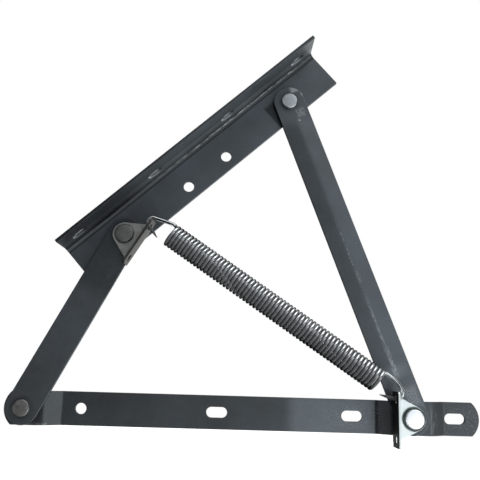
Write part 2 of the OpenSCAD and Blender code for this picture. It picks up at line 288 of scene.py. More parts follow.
def rub_mask(tree, place, middle, half, grain, cover, strength):
    """The mask of a rubbed patch: a soft box broken up by fine streaks. Grain is the streaks' size along
    x, y and z, cover is the share that is rubbed, and strength is how bare it gets."""
    streak = noise(tree, vector_maths(tree, "DIVIDE", place, grain), 1, 3, 0.62)
    least = 0.66 - 0.3 * cover
    broken = remap(tree, streak, least, least + 0.1, 0, strength)
    inside = box_mask(tree, place, middle, half)
    return maths(tree, "MULTIPLY", inside, broken)


def rivet_shade_mask(tree, place, pivot_x, radius, reach=5, strength=0.55):
    """The mask of dark painted shade, with grease in it, that rings a rivet's head and thins out over that
    reach.
    """
    blotch_mm = 6
    flat = vector_maths(tree, "MULTIPLY", place, (1, 1, 0))
    away = vector_maths(tree, "DISTANCE", flat, (pivot_x, 0, 0))
    ring = remap(tree, away, radius + reach, radius, 0, strength, smooth=True)
    return maths(tree, "MULTIPLY", ring, noise(tree, place, blotch_mm, 3))


def painted_shading_colour(tree, place, colour, shading_box):
    """A colour made darker in a soft box by the depth that is given with the box: painted shade. A depth
    below 0 makes it paler: painted light."""
    middle, half, depth = shading_box
    in_box = box_mask(tree, place, middle, half, 0.7)
    return scaled(tree, colour, remap(tree, in_box, 0, 1, 1, 1 - depth))


def mottled(tree, place, size, dark, light, spread=0.15, detail=4, roughness=0.6):
    """Cloudy blotches of that size, and the colour that drifts with them between two tones."""
    cloud = noise(tree, place, size, detail, roughness)
    share = remap(tree, cloud, 0.5 - spread, 0.5 + spread)
    return cloud, mix_colours(tree, share, linear(dark), linear(light))


def start_material(name):
    """A node material with its shader, and the tree that it is built in."""
    material = bpy.data.materials.new(name)
    material.use_nodes = True
    tree = material.node_tree
    return material, tree, tree.nodes["Principled BSDF"]


def finish_metal(tree, shader, colour, rough, normal, metallic=1):
    """Feeds a shader its colour, roughness and normal, and sets how much of the surface is metal."""
    for name, source in (("Base Color", colour), ("Roughness", rough), ("Normal", normal)):
        feed(tree, source, shader.inputs[name])
    shader.inputs["Metallic"].default_value = metallic


def flake_lacquered_strip(name, seat, rivets=(), rubs=(), painted_shading=(), dark="#585d60", light="#61676b"):
    """Hot-rolled strip in a thin charcoal lacquer with fine aluminium flake. The flake mirrors the room
    softly, so a face goes from near black to blue grey with the light that it faces. The lacquer drifts in
    tone and is rubbed to paler steel on corners and where parts slid over it. It carries painted shade, and
    painted light, in soft boxes that each have a depth, and painted shade with grease round the rivets.
    Rubs are what rub_mask takes."""
    material, tree, shader = start_material(name)
    place = bench(tree, seat)
    drift_mm = 52
    # Real flake is about 0.05 mm across; it is drawn this coarse so that it shows
    flake_mm = 0.9
    peel_mm = 2.6
    chip_mm = 3.4
    corner_r = 0.6
    flake_cover = 0.86
    _, tone = mottled(tree, place, drift_mm, dark, light, 0.14, 3, 0.55)
    flake = noise(tree, place, flake_mm, 2, 0.7)
    colour = scaled(tree, tone, remap(tree, flake, 0.3, 0.75, 0.9, 1.12))
    # Painted shade in soft boxes, and painted light where a box's depth is below 0
    for shading_box in painted_shading:
        colour = painted_shading_colour(tree, place, colour, shading_box)
    # Painted shade, as dark as grease, round each rivet's head
    for pivot_x, radius in rivets:
        rivet_shade = rivet_shade_mask(tree, place, pivot_x, radius)
        colour = mix_colours(tree, rivet_shade, colour, linear(shade_and_grease_black))
    worn = edge_mask(tree, corner_r, 0.90, 0.985)
    chips = noise(tree, place, chip_mm, 4, 0.7)
    bare = maths(tree, "MULTIPLY", worn, remap(tree, chips, 0.52, 0.68, 0.04, 0.6))
    for rub in rubs:
        bare = maths(tree, "MAXIMUM", bare, rub_mask(tree, place, *rub))
    paint = mix_colours(tree, bare, colour, linear(bare_steel))
    rough = remap(tree, chips, 0.3, 0.7, 0.42, 0.52)
    soft = bump(tree, noise(tree, place, peel_mm), 0.07, 0.12)
    cut = bump(tree, bare, 0.4, 0.05)
    cut.invert = True
    feed(tree, soft, cut.inputs["Normal"])
    finish_metal(tree, shader, paint, rough, cut, flake_cover)
    return material


def zinc_plate(name, seat, dark, light, smooth, dull, painted_shading, head_r):
    """Electroplated zinc on pressed steel: a cool metal with cloudy passivation and fine handling scratches.
    Painted shade darkens parts of its tab, in soft boxes that each have a depth, and painted shade with
    grease rings the rivet's head. Its roughness goes from smooth to dull with the clouds and the scratches."""
    material, tree, shader = start_material(name)
    place = bench(tree, seat)
    cloud_mm = 9
    # Real scratches are about 0.05 mm wide; they are drawn wider so that they show
    scratch_mm = (7, 0.5, 7)
    scratch_angle = 28
    cloud, tone = mottled(tree, place, cloud_mm, dark, light)
    # Painted shade, as dark as grease, round the rivet's head
    head_shade = rivet_shade_mask(tree, place, 0, head_r, 1.5, 1.6)
    colour = mix_colours(tree, head_shade, tone, linear(shade_and_grease_black))
    # Painted shade in soft boxes on the tab
    for shading_box in painted_shading:
        colour = painted_shading_colour(tree, place, colour, shading_box)
    slanted = add(tree, "ShaderNodeMapping", {
        "Vector": place, "Rotation": (0, 0, math.radians(scratch_angle))})
    fine = noise(tree, vector_maths(tree, "DIVIDE", slanted, scratch_mm), 1, 3)
    rough = remap(tree, maths(tree, "MULTIPLY", cloud, fine), 0.12, 0.42, smooth, dull)
    finish_metal(tree, shader, colour, rough, bump(tree, fine, 0.12, 0.05))
    return material


def headed_rivet_steel(name, seat, dark, light, rough=0.38):
    """Cold-headed rivet steel: the die leaves the crown faintly dimpled, and handling leaves it mottled."""
    material, tree, shader = start_material(name)
    place = bench(tree, seat)
    mottle_mm = 4.5
    dimple_mm = 1.6
    mottle, tone = mottled(tree, place, mottle_mm, dark, light, 0.16, roughness=0.62)
    wear = remap(tree, mottle, 0.3, 0.7, rough - 0.08, rough + 0.1)
    finish_metal(tree, shader, tone, wear, bump(tree, noise(tree, place, dimple_mm), 0.2, 0.06))
    return material


def drawn_spring_wire(name, seat):
    """Cold-drawn spring wire with a thin bright plating: glossy, with drawing lines and a few dull spots.
    Painted shade, as black as grease, lies between the turns, behind the coil and below it, and darkens
    and dulls the hooks' tips, so only the upper turns' crests are bright. Where it lies is a mesh attribute
    read by name."""
    material, tree, shader = start_material(name)
    place = bench(tree, seat)
    spot_mm = 5
    # Real drawing lines are about 0.1 mm apart; they are drawn coarser so that they show
    line_mm = 0.8
    shaded_rough = 0.7
    spots, tone = mottled(tree, place, spot_mm, "#acb0b2", "#d2d6d7", roughness=0.65)
    # Painted shade on the wire: it darkens the wire, dulls it and takes its metal shine away
    painted_shade = add(tree, "ShaderNodeAttribute", attribute_name="painted_shade").outputs["Fac"]
    shaded_colour = mix_colours(tree, painted_shade, tone, linear(painted_shade_black))
    polished = remap(tree, spots, 0.3, 0.7, 0.11, 0.22)
    rough = add(tree, "ShaderNodeMix", {
        "Factor": painted_shade, "A": polished, "B": shaded_rough}, data_type="FLOAT")
    finish_metal(tree, shader, shaded_colour, rough, bump(tree, noise(tree, place, line_mm), 0.08, 0.05))
    feed(tree, remap(tree, painted_shade, 0, 1, 1, 0), shader.inputs["Metallic"])
    shader.inputs["Specular IOR Level"].default_value = 0
    return material


# Shapes on the bench frame

def arc(centre, radius, start, end, steps):
    """Points of an arc, from one angle to another in degrees."""
    return [Vector(centre) + point(radius, start + (end - start) * k / steps) for k in range(steps + 1)]


def slot_loop(middle, length, width, steps=16):
    """The outline of a slot with round ends; a round hole is a slot as long as it is wide."""
    reach = (length - width) / 2
    loop = arc((reach, 0), width / 2, -90, 90, steps) + arc((-reach, 0), width / 2, 90, 270, steps)
    if reach == 0:
        loop = arc((0, 0), width / 2, 0, 360, 3 * steps)[:-1]
    return [Vector(middle) + p for p in loop]


def rounded_box(x0, x1, y0, y1, radius, steps=5):
    """The outline of a rectangle with round corners."""
    corners = [((x1 - radius, y1 - radius), 0), ((x0 + radius, y1 - radius), 90),
               ((x0 + radius, y0 + radius), 180), ((x1 - radius, y0 + radius), 270)]
    return [p for centre, start in corners for p in arc(centre, radius, start, start + 90, steps)]


def area_of(loop):
    """Twice the signed area of an outline."""
    return sum(a.x * b.y - b.x * a.y for a, b in zip(loop, loop[1:] + loop[:1]))


def inset(loop, by):
    """An outline moved into the metal that lies on its left."""
    moved = []
    for before, p, after in zip(loop[-1:] + loop[:-1], loop, loop[1:] + loop[:1]):
        a = (p - before).normalized()
        b = (after - p).normalized()
        na = Vector((-a.y, a.x))
        nb = Vector((-b.y, b.x))
        moved.append(p + (na + nb) * by / (1 + na.dot(nb)))
    return moved


def cut_blank(outline, holes, thick, front_edge=0.4, back_edge=0.25, edge_steps=3):
    """A flat blank cut from sheet, from z = 0 to its thickness, with its sheared edges rolled over.
    The first loop is the outline, and the others are holes."""
    loops = [list(loop) for loop in (outline, *holes)]
    for i, loop in enumerate(loops):
        if (area_of(loop) > 0) != (i == 0):
            loop.reverse()
    layers = []
    for k in range(edge_steps + 1):
        a = math.radians(90 * k / edge_steps)
        layers.append((back_edge * (1 - math.sin(a)), back_edge * (1 - math.cos(a))))
    for k in range(edge_steps + 1):
        a = math.radians(90 * k / edge_steps)
        layers.append((front_edge * (1 - math.cos(a)), thick - front_edge * (1 - math.sin(a))))
    bm = bmesh.new()
    rings = [[[bm.verts.new((*p, z)) for p in inset(loop, by)] for loop in loops] for by, z in layers]
    for low, high in zip(rings, rings[1:]):
        for ring_a, ring_b in zip(low, high):
            count = len(ring_a)
            for i in range(count):
                j = (i + 1) % count
                bm.faces.new((ring_a[i], ring_a[j], ring_b[j], ring_b[i]))
    for layer, turned in ((rings[0], True), (rings[-1], False)):
        verts = [v for ring in layer for v in ring]
        flat = [[v.co.to_2d().to_3d() for v in ring] for ring in layer]
        for tri in tessellate_polygon(flat):
            a, b, c = (verts[i] for i in tri)
            up = (b.co - a.co).cross(c.co - a.co).z > 0
            bm.faces.new((a, c, b) if up == turned else (a, b, c))
    return bm


class Fold:
    """The middle line of folded sheet: straight stretches joined by bends of one radius."""

    def __init__(self, corners, radius, steps=8):
        corners = [Vector(c) for c in corners]
        self.stops = [(corners[0], heading(corners[1] - corners[0]))]
        for before, corner, after in zip(corners, corners[1:], corners[2:]):
            a = heading(corner - before)
            turn = (heading(after - corner) - a + 180) % 360 - 180
            side = 1 if turn > 0 else -1
            reach = radius * math.tan(math.radians(abs(turn)) / 2)
            centre = corner - point(reach, a) + point(radius, a + 90 * side)
            for k in range(steps + 1):
                at = a + turn * k / steps
                self.stops.append((centre - point(radius, at + 90 * side), at))
        self.stops.append((corners[-1], heading(corners[-1] - corners[-2])))
        self.runs = [0.0]
        for (p, a), (q, b) in zip(self.stops, self.stops[1:]):
            straight = (q - p).length
            half = math.radians(abs(b - a)) / 2
            self.runs.append(self.runs[-1] + (straight * half / math.sin(half) if half > 1e-6 else straight))

    def place(self, run, out):
        """The point at a run along the middle line, that far to its left."""
        i = max(k for k in range(len(self.runs) - 1) if self.runs[k] <= run or k == 0)
        share = (run - self.runs[i]) / (self.runs[i + 1] - self.runs[i])
        (p, a), (q, b) = self.stops[i], self.stops[i + 1]
        at = a + (b - a) * share
        return p.lerp(q, share) + point(out, at + 90)

    def run_at(self, first):
        """The run at which the middle line's first coordinate has this value."""
        for (p, _), (q, _), r, s in zip(self.stops, self.stops[1:], self.runs, self.runs[1:]):
            if p.x <= first <= q.x and q.x > p.x:
                return r + (s - r) * (first - p.x) / (q.x - p.x)
        raise ValueError(f"the fold doesn't pass {first}")

    def run_up(self, second):
        """The run on the last stretch at which the second coordinate has this value."""
        return self.runs[-1] - (self.stops[-1][0].y - second)


def slice_at(bm, axis, places):
    """Cuts a mesh at planes across an axis, so that it can bend there."""
    normal = Vector([float(k == axis) for k in range(3)])
    for at in places:
        whole = [*bm.verts, *bm.edges, *bm.faces]
        bmesh.ops.bisect_plane(bm, geom=whole, dist=1e-5, plane_co=normal * at, plane_no=normal)


def fold_blank(bm, fold, thick, axis=0):
    """Bends a flat blank along a fold. Its run goes along x, or along y where the axis is 1."""
    slice_at(bm, axis, fold.runs[1:-1])
    for v in bm.verts:
        bent, forward = fold.place(v.co[axis], v.co.z - thick / 2)
        v.co[axis] = bent
        v.co.z = forward


def seat_piece(bm, name, node, body, seat, material, slot, sharp=38):
    """Seats a bench mesh at its pivot, as the piece that stands for a CAD node."""
    pivot, angle = seat
    bm.normal_update()
    at_pivot = Matrix.Translation((pivot.x * MM, 0, pivot.y * MM))
    leaning = at_pivot @ Matrix.Rotation(-math.radians(angle), 4, "Y")
    bm.transform(leaning @ Matrix.Rotation(math.radians(90), 4, "X") @ Matrix.Scale(MM, 4))
    bmesh.ops.recalc_face_normals(bm, faces=bm.faces)
    mesh = bpy.data.meshes.new(name)
    bm.to_mesh(mesh)
    bm.free()
    mesh.polygons.foreach_set("use_smooth", [True] * len(mesh.polygons))
    mesh.set_sharp_from_angle(angle=math.radians(sharp))
    mesh.materials.append(material)
    piece = bpy.data.objects.new(name, mesh)
    bpy.context.scene.collection.objects.link(piece)
    even = piece.modifiers.new("even_shading", "WEIGHTED_NORMAL")
    even.keep_sharp = True
    even.weight = 80
    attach(piece, body)
    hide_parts(node)
    return piece


# Sheet steel pieces

def base_bar():
    """The base bar, cut with its holes and then stepped forward at its two pivots."""
    start = base_short.x - strip_w
    first_step = base_short.x + first_flat
    hump_start = base_long.x - hump_flat
    hump_end = base_long.x + hump_flat
    short_end = base_short.x - short_end_l
    tail_end = base_long.x + tail_slot_x + tail_l
    low = strip_t / 2
    high = joggle_h + strip_t / 2
    corners = [(start, high), (first_step, high), (first_step + joggle_run, low),
               (hump_start - joggle_run, low), (hump_start, high), (hump_end, high),
               (hump_end + joggle_run, low), (tail_end + strip_w, low)]
    fold = Fold(corners, joggle_r)
    end_a = math.degrees(math.asin(strip_w / 2 / bar_end_r))
    outline = arc((fold.run_at(short_end + bar_end_r), 0), bar_end_r, 180 - end_a, 180 + end_a, 32)
    outline += arc((fold.run_at(tail_end - bar_end_r), 0), bar_end_r, -end_a, end_a, 32)
    pivots = [slot_loop((fold.run_at(p.x), 0), rivet_d, rivet_d) for p in (base_short, base_long)]
    slots = [slot_loop((fold.run_at(x), 0), base_slot_l, slot_w)
             for x in (slot_pitch, 2 * slot_pitch, base_long.x + tail_slot_x)]
    hole = slot_loop((fold.run_at(0), 0), hole_d, hole_d)
    bm = cut_blank(outline, [hole, *slots, *pivots], strip_t)
    fold_blank(bm, fold, strip_t)
    seat = (Vector((0, 0)), 0)
    # Rubbed: round the last slot before the hump, on the tail, on the hump's slope, on the left end's edge
    rubs = [((252, 0, 4), (40, 17, 6), (1.6, 1.1, 3), 0.42, 0.3),
            ((350, 0, 4), (22, 17, 6), (1.8, 1.2, 3), 0.4, 0.25),
            ((320, 0, 8), (5, 17, 8), (0.7, 9, 3), 0.45, 0.3),
            ((-34, -14, 11), (16, 2.2, 2), (5, 0.6, 2), 0.6, 0.5)]
    rivets = [(base_short.x, strip_w / 2), (base_long.x, head_washer_d / 2)]
    # Painted light on the flat before the hump, painted shade in the bend at its foot, painted light on its
    # slope
    painted_shading = [((238, 0, 1.5), (55, 40, 2.2), -0.95),
             ((269.6, 0, 3.8), (1.3, 40, 1.5), 0.35),
             ((280, 0, 7.5), (11, 40, 4.2), -0.8)]
    material = flake_lacquered_strip("lacquered_base_bar", seat, rivets, rubs, painted_shading, "#4b4f51", "#53585b")
    seat_piece(bm, "stepped_base_bar", "base_bar", "base", seat, material, "painted_steel")


def plain_arm_blank(length):
    """A strip with two round ends and a rivet hole in each."""
    half = strip_w / 2
    outline = arc((0, 0), half, 90, 270, 48) + arc((length, 0), half, -90, 90, 48)
    return cut_blank(outline, [slot_loop((x, 0), rivet_d, rivet_d) for x in (0, length)], strip_t)


def short_arm():
    """The short arm, a flat strip."""
    bm = plain_arm_blank(short_arm_l)
    for v in bm.verts:
        v.co.z += arm_back
    seat = (base_short, open_angle)
    # Long faint scratches along both edges
    rubs = [((132, -8, 15), (24, 5, 2), (9, 0.6, 3), 0.3, 0.2),
            ((60, 10, 15), (30, 4, 2), (8, 0.5, 3), 0.24, 0.2)]
    rivets = [(0, plain_head_d / 2), (short_arm_l, nose_r)]
    # Painted shade towards the lid end
    painted_shading = [((168, 0, 14), (55, 40, 3), 0.3)]
    material = flake_lacquered_strip("lacquered_short_arm", seat, rivets, rubs, painted_shading)
    seat_piece(bm, "flat_short_arm", "short_arm", "short_arm", seat, material, "painted_steel")


def long_arm():
    """The long arm, pressed into a shallow roof between its flat ends."""
    bm = plain_arm_blank(long_arm_l)
    flats = [fold_base_flat, fold_base_flat + fold_runout,
             long_arm_l - fold_top_flat - fold_runout, long_arm_l - fold_top_flat]
    runout_cuts = [start + fold_runout * k / 6 for start in (flats[0], flats[2]) for k in range(7)]
    slice_at(bm, 0, runout_cuts)
    crown = 2.2
    slice_at(bm, 1, [crown * k / 2 for k in range(-5, 6)])
    for v in bm.verts:
        rise = min(max((v.co.x - flats[0]) / fold_runout, 0), 1, max((flats[3] - v.co.x) / fold_runout, 0))
        rise = rise * rise * (3 - 2 * rise)
        roof = 1 - (math.hypot(v.co.y, crown) - crown / 2) / (strip_w / 2)
        v.co.z += arm_back + fold_rise * rise * max(roof, 0)
    seat = (base_long, long_arm_at)
    # Rubbed along the ridge's crown, more towards the base
    rubs = [((156, 0.4, 17), (46, 0.9, 3), (2.6, 0.7, 3), 0.55, 0.4),
            ((136, -0.4, 17), (8, 2.2, 3), (1.1, 0.9, 3), 0.6, 0.35),
            ((88, 0.4, 17), (34, 1.6, 3), (3.4, 0.8, 3), 0.75, 0.34),
            ((53, 0, 17), (18, 2.8, 3), (3.2, 0.6, 3), 0.7, 0.42)]
    # Scuffed beside the lower rivet, and round the upper one
    rubs += [((18, -7, 15), (13, 8, 3), (1.1, 0.9, 3), 0.7, 0.4),
             ((331, -10, 15), (4.5, 7, 3), (0.9, 1.4, 3), 1.1, 0.75),
             ((306, -7, 15), (6, 6, 3), (2, 2, 3), 0.8, 0.35),
             ((324.5, -14.6, 15), (4, 1.6, 3), (1.2, 0.9, 3), 0.9, 0.6),
             ((298.4, -2.6, 15), (1.3, 1.1, 3), (3, 3, 3), 1.4, 0.7)]
    rivets = [(0, nose_r), (long_arm_l, plain_head_d / 2)]
    material = flake_lacquered_strip("lacquered_long_arm", seat, rivets, rubs)
    seat_piece(bm, "ridged_long_arm", "long_arm", "long_arm", seat, material, "painted_steel")


def lid_angle():
    """The lid angle: its web carries the arms, and its flange is folded forward to be screwed to the lid."""
    flange_mid = web_above - strip_t / 2
    fold = Fold([(-web_below, joggle_h + strip_t / 2), (flange_mid, joggle_h + strip_t / 2),
                 (flange_mid, joggle_h + flange_w)], lid_bend_r)
    outline = rounded_box(-lid_margin, lid_span + lid_margin, 0, fold.runs[-1], 0.8)
    web = [(x, fold.run_at(0)) for x in (0, lid_span)]
    holes = [slot_loop(at, rivet_d, rivet_d) for at in web]
    web_row = fold.run_at(-web_hole_drop)
    holes += [slot_loop((web_hole_x + i * web_hole_pitch, web_row), hole_d, hole_d) for i in (0, 1)]
    slot_row = fold.run_up(joggle_h + lid_slot_y)
    slots = [lid_span / 2 + (i - 1.5) * lid_slot_pitch for i in range(4)]
    holes += [slot_loop((x, slot_row), lid_slot_l, slot_w) for x in slots]
    bm = cut_blank(outline, holes, strip_t)
    fold_blank(bm, fold, strip_t, 1)
    seat = (lid_short, lid_angle_at)
    # Scratched on both ends of the web; along the bend a pale rubbed line, which is partly a painted
    # highlight of the bend
    rubs = [((-24, 6, 11), (16, 9, 2), (2.4, 0.7, 3), 0.34, 0.3),
            ((232, 14, 11), (22, 12, 2), (6, 0.6, 3), 0.2, 0.2),
            ((165, 23.5, 12.5), (120, 0.8, 1.2), (7, 0.6, 3), 0.6, 0.4)]
    rivets = [(0, washer_d / 2), (lid_span, washer_d / 2)]
    # Painted shade in the bend, painted light on the flange's root, painted shade on its free edge, painted
    # light on its underside
    middle = lid_span / 2
    whole = 2 * lid_span
    painted_shading = [((middle, 22.3, 11.9), (whole, 3.2, 2.9), 0.62),
             ((middle, 26.2, 19.7), (whole, 1.8, 7.3), -0.7),
             ((middle, 26.5, 46), (whole, 3, 1.6), 0.5),
             ((middle, 25.4, 34), (whole, 1.6, 20), -0.35)]
    # Painted shade on the flange's low end, and a painted shadow of the long arm on the web in its corner
    painted_shading += [((-60, 26, 30), (110, 3, 24), 0.42),
              ((189, -4, 11), (7, 18, 1.5), 0.62)]
    material = flake_lacquered_strip("lacquered_lid_angle", seat, rivets, rubs, painted_shading)
    seat_piece(bm, "folded_lid_angle", "lid_angle", "lid", seat, material, "painted_steel")


def spring_plate(name, node, body, seat, material, slot):
    """A spring plate: nosed round its rivet, with a tab folded to the front and a hook hole in each ear."""
    outer_r = tab_bend_r + plate_t
    bend_x = tab_x - outer_r
    middle = plate_back + plate_t / 2
    fold = Fold([(-2 * nose_r, middle), (tab_x - plate_t / 2, middle), (tab_x - plate_t / 2, tab_top)],
                tab_bend_r + plate_t / 2)
    rivet = fold.run_at(0)
    corner = Vector((bend_x, plate_w / 2))
    tangent_a = heading(corner) + math.degrees(math.acos(nose_r / corner.length))
    shoulder = fold.run_up(plate_back + outer_r)
    end = fold.runs[-1]
    half = tab_w / 2
    upper = [Vector((rivet + bend_x, plate_w / 2)), Vector((shoulder, plate_w / 2)), Vector((shoulder, half))]
    nose = arc((rivet, 0), nose_r, tangent_a, 360 - tangent_a, 40)
    lower = [Vector((p.x, -p.y)) for p in upper]
    ears = arc((end - ear_r, -half + ear_r), ear_r, -90, 0, 8)
    ears += arc((end - ear_r, half - ear_r), ear_r, 0, 90, 8)
    outline = nose + lower + ears + upper[::-1]
    hook_run = fold.run_up(spring_at)
    holes = [slot_loop((rivet, 0), rivet_d, rivet_d)]
    holes += [slot_loop((hook_run, side * hook_hole_y), hook_hole_d, hook_hole_d) for side in (-1, 1)]
    bm = cut_blank(outline, holes, plate_t, front_edge=0.35, back_edge=0.35)
    fold_blank(bm, fold, plate_t)
    seat_piece(bm, name, node, body, seat, material, slot)


# Turned pieces

def turned(bm, profile, steps=72):
    """Sweeps a profile of (radius, forward) round the z axis; a radius of 0 closes it."""
    rings = []
    for radius, forward in profile:
        if radius == 0:
            rings.append([bm.verts.new((0, 0, forward))])
        else:
            rings.append([bm.verts.new((*point(radius, 360 * k / steps), forward)) for k in range(steps)])
    for a, b in zip(rings, rings[1:]):
        for k in range(steps):
            j = (k + 1) % steps
            corners = [a[k % len(a)], a[j % len(a)], b[j % len(b)], b[k % len(b)]]
            unique = [v for i, v in enumerate(corners) if v not in corners[:i]]
            bm.faces.new(unique)


def head_profile(radius, seat_at, top, chamfer=0.9, crown=0.25):
    """A rivet head or closed tail, from its seat round a rolled edge to a faintly domed crown."""
    way = 1 if top > seat_at else -1
    edge = [(radius - 0.15, seat_at), (radius, seat_at + 0.2 * way)]
    for k in range(6):
        a = math.radians(18 * k)
        edge.append((radius - chamfer * (1 - math.cos(a)), top - way * chamfer * (1 - math.sin(a))))
    crowned = []
    for k in range(1, 6):
        out = 1 - k / 5
        crowned.append(((radius - chamfer) * out, top + way * crown * (1 - out**2)))
    return edge + crowned


def rivet(name, node, body, pivot, tail_at, head_at, head_d, material, slot):
    """A rivet with its head in front and its tail closed behind."""
    tail = head_profile(tail_d / 2, tail_at, tail_at - tail_h)
    head = head_profile(head_d / 2, head_at, head_at + head_h)
    bm = bmesh.new()
    turned(bm, tail[::-1] + [(rivet_d / 2, tail_at), (rivet_d / 2, head_at)] + head)
    seat_piece(bm, name, node, body, (pivot, 0), material, slot)


def half_rivet(name, node, body, pivot, cut_at, seat_at, end_at, end_d, material, slot):
    """One half of the rivet at the open pivot: its head or its tail, with its shank up to the cut."""
    shank = [(0, cut_at), (rivet_d / 2, cut_at), (rivet_d / 2, seat_at)]
    bm = bmesh.new()
    turned(bm, shank + head_profile(end_d / 2, seat_at, end_at))
    seat_piece(bm, name, node, body, (pivot, 0), material, slot)


def washer(name, node, body, pivot, back, diameter, material):
    """A washer with its edges broken."""
    soft = 0.2
    inner = rivet_d / 2 + play
    outer = diameter / 2
    front = back + washer_t
    bm = bmesh.new()
    turned(bm, [(inner, back + soft), (inner + soft, back), (outer - soft, back),
                (outer, back + soft), (outer, front - soft), (outer - soft, front),
                (inner + soft, front), (inner, front - soft), (inner, back + soft)])
    bmesh.ops.remove_doubles(bm, verts=bm.verts, dist=1e-4)
    seat_piece(bm, name, node, body, (pivot, 0), material, "washer_steel")


# The spring

def coil_station(run):
    """The wire's middle on the coil, and the outward direction there, after so many degrees."""
    spoke = Vector((0, math.cos(math.radians(run)), math.sin(math.radians(run))))
    return Vector((coil_pitch * run / 360, 0, 0)) + coil_r * spoke, spoke


def lead_station(share, end, start):
    """The wire where it turns from going round the coil to going along it: share runs from 0 to 1."""
    a = math.radians(90 * share)
    forward = -end * lead_r * (1 - math.sin(a))
    out = math.sqrt(coil_r**2 - forward**2)
    spoke = Vector((0, out / coil_r, forward / coil_r))
    return Vector((start + end * lead_r * (1 - math.cos(a)), out, forward)), spoke


def hook_shape(end):
    """A hook's radius, how far it stands off the spring's line, and how far its leg bows, in degrees."""
    return (hook_r, hook_lift, lower_leg_bow) if end < 0 else (upper_hook_r, upper_hook_lift, 0)


def hook_station(run, end, start):
    """The wire on the hook's bend round the ear, after so many degrees."""
    a = math.radians(run)
    radius, lift, _ = hook_shape(end)
    middle = Vector((start + end * (hook_reach - hook_back), lift, 0))
    spoke = Vector((end * math.sin(a), math.cos(a), 0))
    return middle + radius * spoke, spoke


def bowed(corners, share):
    """A point of the curve that leaves its first corner towards the second, and reaches the last."""
    a, b, c, d = corners
    left = 1 - share
    return a * left**3 + b * 3 * left**2 * share + c * 3 * left * share**2 + d * share**3


def hook_stations(end, start):
    """The wire from the coil to the tip of one hook."""
    radius, lift, bow = hook_shape(end)
    reach = Vector((hook_reach - hook_back - lead_r, coil_r - lift))
    straight = heading(reach) - math.degrees(math.asin(radius / reach.length))
    lean = straight + bow
    leaving = math.radians(max(straight - bow, 0))
    lead = [lead_station(k / 8, end, start) for k in range(1, 9)]
    first, spoke = hook_station(lean, end, start)
    leave = Vector((end * math.cos(leaving), -math.sin(leaving), 0)) * reach.x * 0.5
    arrive = Vector((end * math.cos(math.radians(lean)), -math.sin(math.radians(lean)), 0)) * reach.x * 0.45
    corners = [lead[-1][0], lead[-1][0] + leave, first - arrive, first]
    leg = [(bowed(corners, k / 10), lead[-1][1].lerp(spoke, k / 10).normalized()) for k in range(1, 10)]
    bend = [hook_station(lean + (hook_turn - lean) * k / 24, end, start) for k in range(25)]
    last, spoke = bend[-1]
    away = Vector((end * math.cos(math.radians(hook_turn)), -math.sin(math.radians(hook_turn)), 0))
    tip = [(last + away * hook_tip * k / 8, spoke) for k in range(1, 9)]
    return lead + leg + bend + tip


def coil_stations(lead_a):
    """The wire on the coil between its two leads. The turns wander a little from their even pitch."""
    count = 30 * coil_turns
    end_a = 360 * coil_turns - lead_a
    drift = random.Random(7)
    wander = [drift.uniform(-0.05, 0.05) for _ in range(coil_turns + 2)]
    stations = []
    for k in range(count + 1):
        a = lead_a + (end_a - lead_a) * k / count
        place, spoke = coil_station(a)
        whole, part = divmod(a / 360, 1)
        off = wander[int(whole)] * (1 - part) + wander[int(whole) + 1] * part
        stations.append((place + Vector((off, 0, 0)), spoke))
    return stations


def ramp(value, start, end):
    """How far a value has come from start to end, kept within 0 and 1."""
    return min(max((value - start) / (end - start), 0), 1)


def painted_shade_on(at, section_a, from_tip, on_coil):
    """How much painted shade the wire gets, from 0 to 1, at an angle round its section from the coil's
    outside. On the hooks it goes by the number of stations from the tip."""
    if not on_coil:
        return 0.8 if from_tip < 10 else 0.45 if from_tip < 22 else 0
    outer_r = coil_r + wire_d / 2
    between = ramp(math.cos(section_a), 0.85, 0.35)
    behind = ramp(at.z / outer_r, 0.6, 0.46)
    below = ramp(at.y / outer_r, 0.32, 0.02) * 0.74
    return max(between, behind, below) * 0.95


